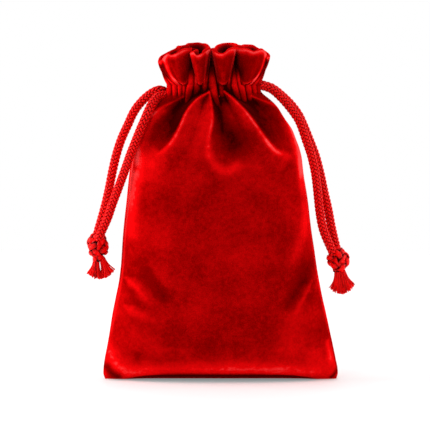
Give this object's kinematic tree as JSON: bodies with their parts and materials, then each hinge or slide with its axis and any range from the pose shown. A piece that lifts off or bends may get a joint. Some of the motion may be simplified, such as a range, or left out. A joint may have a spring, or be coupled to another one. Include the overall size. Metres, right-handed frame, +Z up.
{
  "type": "kinchaku drawstring pouch",
  "caption": "Small plump velvet drawstring pouch, gathered shut at the neck under a ruffle, with a braided cord hanging from each side, knotted and frayed at its end.",
  "frame": {"origin": "on the floor under the middle of the bag, between the front and back panels' bottom seams", "axes": "+X to the right seen from the front, -Y towards the front, +Z up through the gathered neck"},
  "size_m": [0.1164, 0.042, 0.1437],
  "materials": {
    "velvet": "short dense pile with a soft sheen",
    "braid": "round braid, slightly shiny",
    "yarn": "loose frayed yarn"
  },
  "bodies": {
    "root": {"front_panel": "velvet", "back_panel": "velvet", "left_cord": "braid", "right_cord": "braid", "left_knot": "braid", "right_knot": "braid", "left_fringe": "yarn", "right_fringe": "yarn"}
  },
  "joints": []
}
